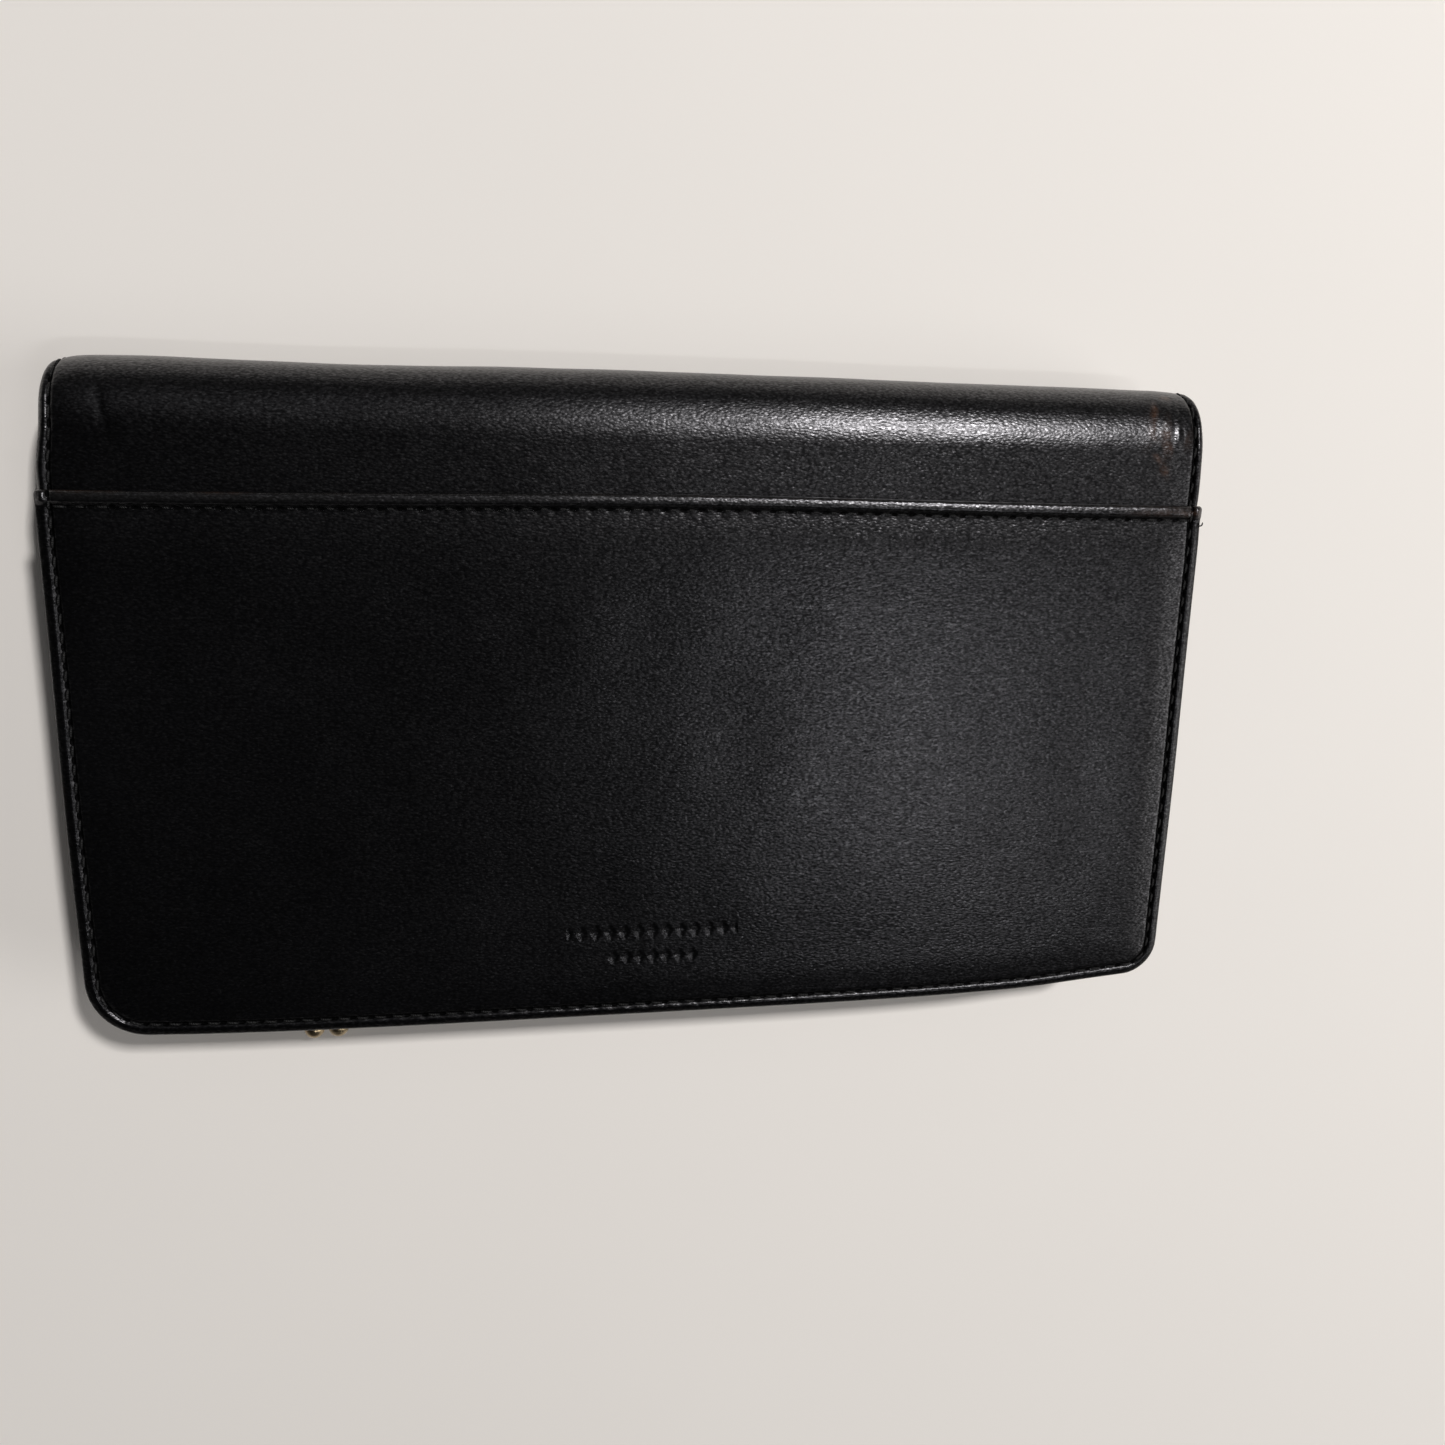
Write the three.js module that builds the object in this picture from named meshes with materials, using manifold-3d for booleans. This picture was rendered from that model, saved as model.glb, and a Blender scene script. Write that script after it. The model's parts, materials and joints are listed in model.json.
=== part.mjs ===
// A long bi-fold wallet in black leather, closed and lying on its front with its back face up.
//
// Frame: millimetres, +X along the wallet's length, +Y from the free edges to the fold, +Z up out of
// the back. The origin is on the front face that the wallet rests on, at the middle of its length and
// of its depth.
//
// Each half is a stack of flat layers sewn round its edge. One leather cover turns round the fold. It
// is made here as three lengths, front, spine and back, that meet on the two creases where the cover
// bends as it opens. The front half holds a coin pouch with a kiss-lock frame at its free edge. The
// back half has a slip pocket outside, and a note pocket and two columns of card slots inside. All
// slip pockets open towards the fold.
import * as THREE from "three";
import { mergeVertices } from "three/addons/utils/BufferGeometryUtils.js";
import Module from "manifold-3d";

const wasm = await Module();
wasm.setup();

// ---- Driving dimensions ----------------------------------------------------------------------
const LENGTH = 190;
const DEPTH = 108;
const CORNER_R = 8;
const GAP = 0.3; // air between neighbouring pieces

const LEATHER = 1.2;
const POCKET_LEATHER = 0.9;
const LINING = 0.4;
const BOARD = 0.8;
const BACK_BOARD = 1.2;
const PADDING = 4.2;
const HALF_GAP = 1.9; // between the two halves, where the snap's plates are

const X_END = LENGTH / 2;
const Y_FREE = -DEPTH / 2;
const Y_FOLD = DEPTH / 2;

// Kiss-lock coin frame, at the left end of the front half's free edge.
const FRAME_X = -61;
const FRAME_LENGTH = 66;
const FRAME_DEPTH = 29;
const FRAME_REACH = 2.5; // how far the frame stands out past the leather's free edge
const FRAME_R = 7;
const BAR = 4; // width of the jaws' channel, seen from the front
const JAW = 3.8; // thickness of one jaw
const SHEET = 0.6; // brass sheet that the channel is folded from
const CHANNEL_BACK = 0.8; // channel's closed side
const PIVOT_OFFSET = 3; // from the end of a leg to the pivot
const LUG = 0.8;
const LUG_R = 2.2;
const RIVET_R = 0.9;
const RIVET_HEAD_R = 1.8;
const RIVET_HEAD = 0.5;
const BALL_R = 1.85;
const BALL_SPACING = 4; // between the two balls, along the frame
const BALL_CROSSING = 0.9; // how far each ball leans past the plane between the jaws
const BALL_REACH = 6; // from the frame's edge to the balls' centres
const STEM_R = 0.9;

// Press snap, between the halves at the free edge.
const SNAP_Y = Y_FREE + 13;
const SNAP_R = 6.5;
const SNAP_PLATE = 0.5;
const SNAP_BARREL_R = 4;
const SNAP_STUD_R = 2.4;
const SNAP_STUD = 1.7;
const SNAP_SHANK_R = 1.2;
const WASHER_R = 6;

// Card slots, in two columns on the back half's inner face.
const CARD_ROWS = 3;
const CARD_STEP = 12;
const CARD_MOUTH_Y = 26; // mouth of the row nearest the fold
const COLUMN_GAP = 3;

const BACK_POCKET_MOUTH_Y = 35;
const SLIP_POCKET_MOUTH_Y = 22;
const BILL_DIVIDER_Y = 38;

const INSET = 1.5; // inner layers stop this far inside the cover's edge
const ROUND_SEGMENTS = 32;

// ---- Heights of the layers, from the face the wallet rests on to the back pocket -------------
const jawSplit = JAW + GAP / 2; // plane between the two jaws
const boardFrontZ = LEATHER + GAP;
const paddingZ = boardFrontZ + BOARD + GAP;
const liningFrontZ = 2 * jawSplit + GAP;
const slipPocketZ = liningFrontZ + LINING + GAP;
const frontTop = slipPocketZ + BOARD;
const cardZ = (row) => frontTop + HALF_GAP + (CARD_ROWS - 1 - row) * (POCKET_LEATHER + GAP);
const billDividerZ = cardZ(0) + POCKET_LEATHER + GAP;
const liningBackZ = billDividerZ + POCKET_LEATHER + GAP;
const boardBackZ = liningBackZ + LINING + GAP;
const coverBackZ = boardBackZ + BACK_BOARD + GAP;
const backPocketZ = coverBackZ + LEATHER + GAP;

// ---- The fold --------------------------------------------------------------------------------
const foldR = (coverBackZ + LEATHER) / 2; // outer radius of the turned leather
const foldY = Y_FOLD - foldR; // where the flat leather starts to turn
const CREASE = Math.PI / 4; // angle round the fold, up or down from its middle, of each crease
const layerEndY = foldY - 1;

// ---- The coin frame's places -----------------------------------------------------------------
const frameLeft = FRAME_X - FRAME_LENGTH / 2;
const frameRight = FRAME_X + FRAME_LENGTH / 2;
const frameEdgeY = Y_FREE - FRAME_REACH;
const legEndY = frameEdgeY + FRAME_DEPTH;
const pivotY = legEndY + PIVOT_OFFSET;
const wallInset = CHANNEL_BACK + 1.5; // pouch leather stands this far inside the frame's outline
const wallLeft = frameLeft + wallInset;
const wallRight = frameRight - wallInset;
const wallFreeY = frameEdgeY + CHANNEL_BACK + GAP;
const mouthZ = SHEET + GAP;
const innerWallZ = 2 * jawSplit - SHEET - GAP - POCKET_LEATHER;
const pouchStartY = pivotY + 3.5;
const pouchEndY = 16;
const notchY = pivotY + 3;
const notchX = frameRight + 2;

// ---- Materials -------------------------------------------------------------------------------
const material = (color, roughness, metalness = 0) =>
  new THREE.MeshStandardMaterial({ color, roughness, metalness });
const leather = material(0x1b1b1d, 0.45);
const softLeather = material(0x202022, 0.55);
const lining = material(0x17171a, 0.85);
const board = material(0x8a7f6c, 0.9);
const foam = material(0x55565a, 0.95);
const brass = material(0xb08d4a, 0.3, 1);
const steel = material(0xb9babd, 0.3, 1);

// ---- Shapes ----------------------------------------------------------------------------------
// A rectangle whose two corners at the free edge (lower y) are rounded.
function panelShape(x0, x1, y0, y1, leftR = CORNER_R, rightR = leftR) {
  const s = new THREE.Shape();
  s.moveTo(x0, y1);
  s.lineTo(x0, y0 + leftR);
  if (leftR > 0) s.absarc(x0 + leftR, y0 + leftR, leftR, Math.PI, 1.5 * Math.PI);
  s.lineTo(x1 - rightR, y0);
  if (rightR > 0) s.absarc(x1 - rightR, y0 + rightR, rightR, 1.5 * Math.PI, 2 * Math.PI);
  s.lineTo(x1, y1);
  return s;
}

// A shape in X and Y raised into a plate from z0.
function plate(shape, z0, height) {
  const g = new THREE.ExtrudeGeometry(shape, { depth: height, bevelEnabled: false, curveSegments: 8 });
  return g.translate(0, 0, z0);
}

// A shape drawn in Y and Z, run along X from x0.
function runAlongX(shape, x0, length) {
  const g = new THREE.ExtrudeGeometry(shape, { depth: length, bevelEnabled: false, curveSegments: 12 });
  const turn = new THREE.Matrix4().makeBasis(
    new THREE.Vector3(0, 1, 0),
    new THREE.Vector3(0, 0, 1),
    new THREE.Vector3(1, 0, 0),
  );
  return g.applyMatrix4(turn).translate(x0, 0, 0);
}

// A cylinder between two points.
function rod(from, to, radius) {
  const axis = to.clone().sub(from);
  const g = new THREE.CylinderGeometry(radius, radius, axis.length(), ROUND_SEGMENTS);
  const up = new THREE.Vector3(0, 1, 0);
  const turn = new THREE.Quaternion().setFromUnitVectors(up, axis.clone().normalize());
  const middle = from.clone().add(to).multiplyScalar(0.5);
  return g.applyQuaternion(turn).translate(middle.x, middle.y, middle.z);
}

const upright = (x, y, z0, height, radius) =>
  rod(new THREE.Vector3(x, y, z0), new THREE.Vector3(x, y, z0 + height), radius);

// ---- Joining and cutting ---------------------------------------------------------------------
function solid(geometry) {
  const bare = geometry.index ? geometry.toNonIndexed() : geometry.clone();
  bare.deleteAttribute("normal");
  bare.deleteAttribute("uv");
  const merged = mergeVertices(bare, 1e-4);
  return new wasm.Manifold(
    new wasm.Mesh({
      numProp: 3,
      vertProperties: merged.attributes.position.array,
      triVerts: new Uint32Array(merged.index.array),
    }),
  );
}

function geometryOf(manifold) {
  const m = manifold.getMesh();
  const g = new THREE.BufferGeometry();
  g.setAttribute("position", new THREE.BufferAttribute(new Float32Array(m.vertProperties), 3));
  g.setIndex(new THREE.BufferAttribute(new Uint32Array(m.triVerts), 1));
  g.computeVertexNormals();
  return g;
}

const cut = (geometry, ...tools) =>
  geometryOf(tools.reduce((body, tool) => body.subtract(solid(tool)), solid(geometry)));

const join = (geometry, ...others) =>
  geometryOf(others.reduce((body, other) => body.add(solid(other)), solid(geometry)));

const wallet = new THREE.Group();

function add(name, geometry, finish) {
  const mesh = new THREE.Mesh(geometry, finish);
  mesh.name = name;
  wallet.add(mesh);
}

// ---- Cover and linings -----------------------------------------------------------------------
// A length of the turned leather between two angles, measured up from the fold's middle. Each end
// stops short by half of the air gap, except where it runs on into flat leather at the quarter turns.
function foldArc(outerR, thickness, from, to) {
  const short = GAP / 2 / outerR;
  const start = from > -Math.PI / 2 ? from + short : from;
  const end = to < Math.PI / 2 ? to - short : to;
  const s = new THREE.Shape();
  s.absarc(foldY, foldR, outerR, start, end);
  s.absarc(foldY, foldR, outerR - thickness, end, start, true);
  return s;
}

const frontArc = (outerR, thickness) => foldArc(outerR, thickness, -Math.PI / 2, -CREASE);
const spineArc = (outerR, thickness) => foldArc(outerR, thickness, -CREASE, CREASE);
const backArc = (outerR, thickness) => foldArc(outerR, thickness, CREASE, Math.PI / 2);

// The flat length of the cover that starts at height z0, as far as the fold.
const flatCover = (z0) => plate(panelShape(-X_END, X_END, Y_FREE, foldY), z0, LEATHER);

// The lower left corner of the front is left open for the coin frame's moving jaw.
function coverFront() {
  const notch = new THREE.BoxGeometry(notchX + X_END + 2, notchY - Y_FREE + 2, 3 * LEATHER);
  notch.translate((notchX - X_END) / 2 - 1, (notchY + Y_FREE) / 2 - 1, 0);
  return cut(join(flatCover(0), runAlongX(frontArc(foldR, LEATHER), -X_END, LENGTH)), notch);
}

const coverBack = () =>
  join(flatCover(coverBackZ), runAlongX(backArc(foldR, LEATHER), -X_END, LENGTH));

const foldLiningR = foldR - LEATHER - GAP;
const foldLining = (arc) =>
  runAlongX(arc(foldLiningR, LINING), -X_END + INSET, LENGTH - 2 * INSET);

const layer = (z0, height, mouthY) =>
  plate(
    panelShape(-X_END + INSET, X_END - INSET, Y_FREE + INSET, mouthY, CORNER_R - INSET),
    z0,
    height,
  );

add("cover_front", coverFront(), leather);
add("cover_spine", runAlongX(spineArc(foldR, LEATHER), -X_END, LENGTH), leather);
add("cover_back", coverBack(), leather);
add("fold_lining_front", foldLining(frontArc), lining);
add("fold_lining_spine", foldLining(spineArc), lining);
add("fold_lining_back", foldLining(backArc), lining);

// ---- Back half -------------------------------------------------------------------------------
add(
  "back_pocket",
  plate(panelShape(-X_END, X_END, Y_FREE, BACK_POCKET_MOUTH_Y), backPocketZ, LEATHER),
  leather,
);
add("back_board", layer(boardBackZ, BACK_BOARD, layerEndY), board);
add("back_lining", layer(liningBackZ, LINING, layerEndY), lining);
add("bill_divider", layer(billDividerZ, POCKET_LEATHER, BILL_DIVIDER_Y), softLeather);

// One card slot panel. column is -1 for the left column and 1 for the right; row 0 is nearest the
// fold. The snap's washer is let into the middle row.
function cardSlot(column, row) {
  const inner = COLUMN_GAP / 2;
  const outer = X_END - INSET;
  const mouthY = CARD_MOUTH_Y - row * CARD_STEP;
  const r = CORNER_R - INSET;
  const shape =
    column < 0
      ? panelShape(-outer, -inner, Y_FREE + INSET, mouthY, r, 0)
      : panelShape(inner, outer, Y_FREE + INSET, mouthY, 0, r);
  const panel = plate(shape, cardZ(row), POCKET_LEATHER);
  const washerRoom = upright(0, SNAP_Y, cardZ(1) - 1, POCKET_LEATHER + 2, WASHER_R + GAP);
  return row === 1 ? cut(panel, washerRoom) : panel;
}

for (let row = 0; row < CARD_ROWS; row++) {
  add("card_slot_left_" + (row + 1), cardSlot(-1, row), softLeather);
  add("card_slot_right_" + (row + 1), cardSlot(1, row), softLeather);
}

// ---- Front half ------------------------------------------------------------------------------
// A layer that fills the front half everywhere except in the coin pouch's corner.
function besidePouch(z0, height) {
  const x0 = -X_END - 1;
  const y0 = frameEdgeY - 1;
  const corner = new THREE.BoxGeometry(notchX + GAP - x0, pouchEndY + GAP - y0, height + 2);
  corner.translate((notchX + GAP + x0) / 2, (pouchEndY + GAP + y0) / 2, z0 + height / 2);
  return cut(layer(z0, height, layerEndY), corner);
}

const washerZ = liningFrontZ - GAP - SNAP_PLATE - 0.5;
const hole = (z0, height, radius) => upright(0, SNAP_Y, z0 - 1, height + 2, radius + GAP);

add("front_board", besidePouch(boardFrontZ, BOARD), board);
add(
  "front_padding",
  cut(besidePouch(paddingZ, PADDING), upright(0, SNAP_Y, washerZ - GAP, 2, WASHER_R + GAP)),
  foam,
);
add(
  "front_lining",
  cut(layer(liningFrontZ, LINING, layerEndY), hole(liningFrontZ, LINING, SNAP_BARREL_R)),
  lining,
);
add(
  "slip_pocket",
  cut(layer(slipPocketZ, BOARD, SLIP_POCKET_MOUTH_Y), hole(slipPocketZ, BOARD, SNAP_BARREL_R)),
  softLeather,
);

// ---- Press snap ------------------------------------------------------------------------------
const socketPlateZ = frontTop + GAP;
const barrelZ = washerZ + SNAP_PLATE + GAP;
const studPlateZ = socketPlateZ + SNAP_PLATE + GAP;
const shankTop = cardZ(1) - GAP;

function snapSocket() {
  const flange = upright(0, SNAP_Y, socketPlateZ, SNAP_PLATE, SNAP_R);
  const barrel = upright(0, SNAP_Y, barrelZ, socketPlateZ - barrelZ + 0.1, SNAP_BARREL_R);
  const bore = upright(0, SNAP_Y, studPlateZ - SNAP_STUD - GAP, 5, SNAP_STUD_R + GAP);
  return cut(join(flange, barrel), bore);
}

function snapStud() {
  const flange = upright(0, SNAP_Y, studPlateZ, SNAP_PLATE, SNAP_R);
  const stud = upright(0, SNAP_Y, studPlateZ - SNAP_STUD, SNAP_STUD + 0.1, SNAP_STUD_R);
  const shank = upright(0, SNAP_Y, studPlateZ + 0.1, shankTop - studPlateZ - 0.1, SNAP_SHANK_R);
  return join(flange, stud, shank);
}

add("snap_socket", snapSocket(), brass);
add("snap_socket_washer", upright(0, SNAP_Y, washerZ, SNAP_PLATE, WASHER_R), steel);
add("snap_stud", snapStud(), brass);
add("snap_stud_washer", upright(0, SNAP_Y, cardZ(1), SNAP_PLATE, WASHER_R), steel);

// ---- Kiss-lock frame -------------------------------------------------------------------------
// One jaw: a bent channel whose hollow side faces inwards. The moving jaw lies below the fixed one.
function jawChannel(z0) {
  const outline = panelShape(frameLeft, frameRight, frameEdgeY, legEndY, FRAME_R);
  const middle = panelShape(
    frameLeft + BAR,
    frameRight - BAR,
    frameEdgeY + BAR,
    legEndY + 5,
    FRAME_R - BAR,
  );
  const groove = panelShape(
    frameLeft + CHANNEL_BACK,
    frameRight - CHANNEL_BACK,
    frameEdgeY + CHANNEL_BACK,
    legEndY + 5,
    FRAME_R - CHANNEL_BACK,
  );
  return cut(
    plate(outline, z0, JAW),
    plate(middle, z0 - 1, JAW + 2),
    plate(groove, z0 + SHEET, JAW - 2 * SHEET),
  );
}

// A flat ear from a leg's end to the pivot. low and high are the jaw's own bottom and top.
function lug(x0, low, high) {
  const s = new THREE.Shape();
  const rise = high < jawSplit ? 1 : -1;
  const near = rise > 0 ? low : high;
  s.moveTo(legEndY - 2, near);
  s.lineTo(legEndY, near);
  s.lineTo(pivotY + LUG_R * 0.8, jawSplit - rise * LUG_R * 0.6);
  s.absarc(pivotY, jawSplit, LUG_R, rise * -0.6435, rise * 2.2, rise < 0);
  s.lineTo(legEndY, rise > 0 ? high : low);
  s.lineTo(legEndY - 2, rise > 0 ? high : low);
  return runAlongX(s, x0, LUG);
}

function jaw(z0, leftLugX, rightLugX) {
  const onPivot = (x) => new THREE.Vector3(x, pivotY, jawSplit);
  const pivotHole = (x) => rod(onPivot(x - 1), onPivot(x + 2), RIVET_R + GAP);
  const body = join(jawChannel(z0), lug(leftLugX, z0, z0 + JAW), lug(rightLugX, z0, z0 + JAW));
  return cut(body, pivotHole(leftLugX), pivotHole(rightLugX));
}

const innerLug = LUG + GAP; // the fixed jaw's ears stand inside the moving jaw's
add("coin_frame_moving_jaw", jaw(0, frameLeft, frameRight - LUG), brass);
add(
  "coin_frame_fixed_jaw",
  jaw(jawSplit + GAP / 2, frameLeft + innerLug, frameRight - LUG - innerLug),
  brass,
);

// A rivet through both ears at one end. outX is the outer face of the moving jaw's ear, and side is
// -1 at the left end and 1 at the right.
function pivotRivet(outX, side) {
  const outer = side * (RIVET_HEAD + GAP);
  const inner = -side * (2 * LUG + 2 * GAP);
  const at = (dx) => new THREE.Vector3(outX + dx, pivotY, jawSplit);
  return join(
    rod(at(outer), at(inner - side * RIVET_HEAD), RIVET_R),
    rod(at(outer), at(outer - side * RIVET_HEAD), RIVET_HEAD_R),
    rod(at(inner), at(inner - side * RIVET_HEAD), RIVET_HEAD_R),
  );
}

add("pivot_rivet_left", pivotRivet(frameLeft, -1), brass);
add("pivot_rivet_right", pivotRivet(frameRight, 1), brass);

// A ball on a stem that leans across the plane between the jaws. side is -1 on the moving jaw and 1
// on the fixed one.
function kissBall(side) {
  const x = FRAME_X + (side * BALL_SPACING) / 2;
  const footZ = jawSplit + side * (JAW / 2 + GAP / 2);
  const foot = new THREE.Vector3(x, frameEdgeY - GAP, footZ);
  const bend = new THREE.Vector3(x, frameEdgeY - 2, footZ);
  const centre = new THREE.Vector3(x, frameEdgeY - BALL_REACH, jawSplit - side * BALL_CROSSING);
  const ball = new THREE.SphereGeometry(BALL_R, ROUND_SEGMENTS, 16);
  ball.translate(centre.x, centre.y, centre.z);
  const knee = new THREE.SphereGeometry(STEM_R, ROUND_SEGMENTS, 16);
  knee.translate(bend.x, bend.y, bend.z);
  return join(rod(foot, bend, STEM_R), knee, rod(bend, centre, STEM_R * 0.9), ball);
}

add("kiss_ball_moving", kissBall(-1), brass);
add("kiss_ball_fixed", kissBall(1), brass);

// ---- Coin pouch ------------------------------------------------------------------------------
const pouchWall = (y0, y1, z0, height) =>
  plate(panelShape(wallLeft, wallRight, y0, y1, y0 < legEndY ? FRAME_R - wallInset : 0), z0, height);

add("coin_mouth_leather", pouchWall(wallFreeY, legEndY + 1, mouthZ, POCKET_LEATHER), leather);
add("coin_pouch_outer_wall", pouchWall(pouchStartY, pouchEndY, boardFrontZ, LINING), softLeather);
add("coin_pouch_inner_wall", pouchWall(wallFreeY, pouchEndY, innerWallZ, POCKET_LEATHER), softLeather);

// A gusset strip folded inwards between the pouch walls. side is -1 at the left end and 1 at the right.
function gusset(side) {
  const tuck = 5;
  const x = side < 0 ? frameLeft + BAR + GAP : frameRight - BAR - GAP;
  const low = mouthZ + POCKET_LEATHER + GAP;
  const high = innerWallZ - GAP;
  const middle = (low + high) / 2;
  const s = new THREE.Shape();
  s.moveTo(x, low);
  s.lineTo(x - side * tuck, middle - LINING / 2);
  s.lineTo(x - side * tuck, middle + LINING / 2);
  s.lineTo(x, high);
  s.lineTo(x, high - LINING);
  s.lineTo(x - side * (tuck - 1.5), middle);
  s.lineTo(x, low + LINING);
  const depth = pouchEndY - 1 - (frameEdgeY + 3 * BAR);
  const g = new THREE.ExtrudeGeometry(s, { depth, bevelEnabled: false });
  return g.rotateX(Math.PI / 2).translate(0, pouchEndY - 1, 0);
}

add("coin_gusset_left", gusset(-1), lining);
add("coin_gusset_right", gusset(1), lining);

export default wallet;
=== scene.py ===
"""Looks for a black leather long wallet that lies closed on its front, its back face up.

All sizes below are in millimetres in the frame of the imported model: X along the wallet, Y from the free
edges to the fold, Z up out of the back. Meshes are written out in metres.
"""

import json
import math

import bpy
import numpy as np
from mathutils import Matrix, Vector


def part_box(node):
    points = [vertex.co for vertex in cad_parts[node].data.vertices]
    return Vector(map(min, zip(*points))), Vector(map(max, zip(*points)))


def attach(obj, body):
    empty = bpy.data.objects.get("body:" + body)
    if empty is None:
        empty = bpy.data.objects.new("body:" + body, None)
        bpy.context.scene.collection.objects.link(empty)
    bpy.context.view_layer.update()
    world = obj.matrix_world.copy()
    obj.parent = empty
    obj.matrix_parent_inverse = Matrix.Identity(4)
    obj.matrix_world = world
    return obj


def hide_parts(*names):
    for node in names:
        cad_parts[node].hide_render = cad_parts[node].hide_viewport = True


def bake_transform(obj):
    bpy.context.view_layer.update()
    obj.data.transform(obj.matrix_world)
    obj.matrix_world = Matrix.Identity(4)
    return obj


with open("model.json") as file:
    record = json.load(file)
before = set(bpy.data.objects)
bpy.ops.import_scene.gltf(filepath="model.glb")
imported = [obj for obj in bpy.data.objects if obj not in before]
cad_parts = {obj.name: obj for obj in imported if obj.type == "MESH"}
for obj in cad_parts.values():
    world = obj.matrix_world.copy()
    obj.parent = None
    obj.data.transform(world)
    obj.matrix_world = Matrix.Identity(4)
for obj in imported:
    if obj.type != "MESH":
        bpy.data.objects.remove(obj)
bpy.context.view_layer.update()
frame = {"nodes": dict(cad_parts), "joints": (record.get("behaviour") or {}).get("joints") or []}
MM = 0.001


def span(node):
    """A CAD node's box in millimetres: x0, y0, z0, x1, y1, z1."""
    lo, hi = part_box(node)
    return [v / MM for v in (*lo, *hi)]


def joint(name):
    return next(j for j in frame["joints"] if j["name"] == name)


# ---- Places taken from the frame --------------------------------------------------------------------
POCKET = span("back_pocket")
COVER = span("cover_back")
SPINE = span("cover_spine")
X_END = POCKET[3]
Y_FREE = POCKET[1]
Y_FOLD = SPINE[4]
TOP = POCKET[5]
MOUTH_Y = POCKET[4]
FOLD_R = COVER[5] / 2  # outer radius of the fold
FOLD_Y = Y_FOLD - FOLD_R
QUARTER = FOLD_R * math.pi / 2  # leather from the fold's middle to where it is flat
FIXED_JAW = span("coin_frame_fixed_jaw")
PIVOT_Y = joint("coin_pivots")["pos_m"][1] / MM
NOTCH_X = FIXED_JAW[3] + 2  # the cover's lower skin is cut away for the coin pouch left of here,
NOTCH_V = QUARTER + FOLD_Y - (PIVOT_Y + 3)  # and from here to the free edge
STITCH_IN = 2.1  # from the edge to the stitch line
STITCH_PITCH = 3.0
FIRST_STITCH = 0.6  # pitches from a seam's start to its first stitch
HOLE_LONG, HOLE_WIDE = 0.62, 0.30  # half sizes of a needle hole
THREAD_R = 0.22


# ---- Small maths ------------------------------------------------------------------------------------
def smooth(t):
    t = np.clip(t, 0, 1)
    return t * t * (3 - 2 * t)


def bump(t, width):
    return np.exp(-((t / width) ** 2))


def waves(x, y, scale, seed, n=14):
    """A soft random field of about unit height whose features are about scale wide."""
    rng = np.random.default_rng(seed)
    total = 0.0
    for _ in range(n):
        angle = rng.uniform(0, 2 * math.pi)
        k = rng.uniform(0.6, 1.4) * 2 * math.pi / (2.2 * scale)
        phase = rng.uniform(0, 2 * math.pi)
        total = total + np.sin(k * (x * math.cos(angle) + y * math.sin(angle)) + phase)
    return total / math.sqrt(n)


# ---- Meshes -----------------------------------------------------------------------------------------
def make_mesh(name, verts, quads, **colours):
    """An object from points in millimetres and four-cornered faces, with a colour layer for each keyword."""
    me = bpy.data.meshes.new(name)
    verts = np.asarray(verts, float)
    quads = np.asarray(quads, np.int32)
    me.vertices.add(len(verts))
    me.vertices.foreach_set("co", (verts * MM).astype(np.float32).ravel())
    me.loops.add(4 * len(quads))
    me.loops.foreach_set("vertex_index", quads.ravel())
    me.polygons.add(len(quads))
    me.polygons.foreach_set("loop_start", np.arange(len(quads), dtype=np.int32) * 4)
    me.polygons.foreach_set("use_smooth", np.ones(len(quads), bool))
    me.update(calc_edges=True)
    for key, values in colours.items():
        layer = me.color_attributes.new(key, "FLOAT_COLOR", "POINT")
        rgba = np.ones((len(verts), 4), np.float32)
        rgba[:, :3] = values
        layer.data.foreach_set("color", rgba.ravel())
    ob = bpy.data.objects.new(name, me)
    bpy.context.scene.collection.objects.link(ob)
    return ob


# Grid lines in from an edge: fine ones for a sewn edge seen close up, coarser ones for the rest.
EDGE_LINES = np.array([0, .03, .09, .18, .3, .45, .65, .9, 1.2, 1.45, 1.65, 1.8, 1.95, 2.1, 2.25, 2.4,
                       2.55, 2.75, 3.0, 3.4, 4, 5, 6.5, 8.5, 11])
COARSE_LINES = np.array([0, .04, .12, .25, .45, .7, 1.05, 1.5, 2.2, 3.2, 5, 8, 11])
PADDING_LINES = np.array([0, .05, .15, .35, .6, .95, 1.4, 1.9, 2.5, 3.2, 4.5, 7, 11])
FAR = 99.0  # stands for a distance that is too large to matter


def lines(length, step, edge, start=True, end=True, fine=()):
    """Positions of grid lines from 0 to length, close together at the ends and at the fine stretches."""
    low = edge if start else np.array([0.0])
    high = length - edge[::-1] if end else np.array([length])
    count = max(1, math.ceil((high[0] - low[-1]) / step))
    found = np.concatenate([low, np.linspace(low[-1], high[0], count + 1)[1:-1], high])
    for a, b, gap in fine:
        found = found[(found < a) | (found > b)]
        found = np.concatenate([found, np.linspace(a, b, max(2, round((b - a) / gap) + 1))])
    return np.unique(np.round(found, 5))


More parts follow.
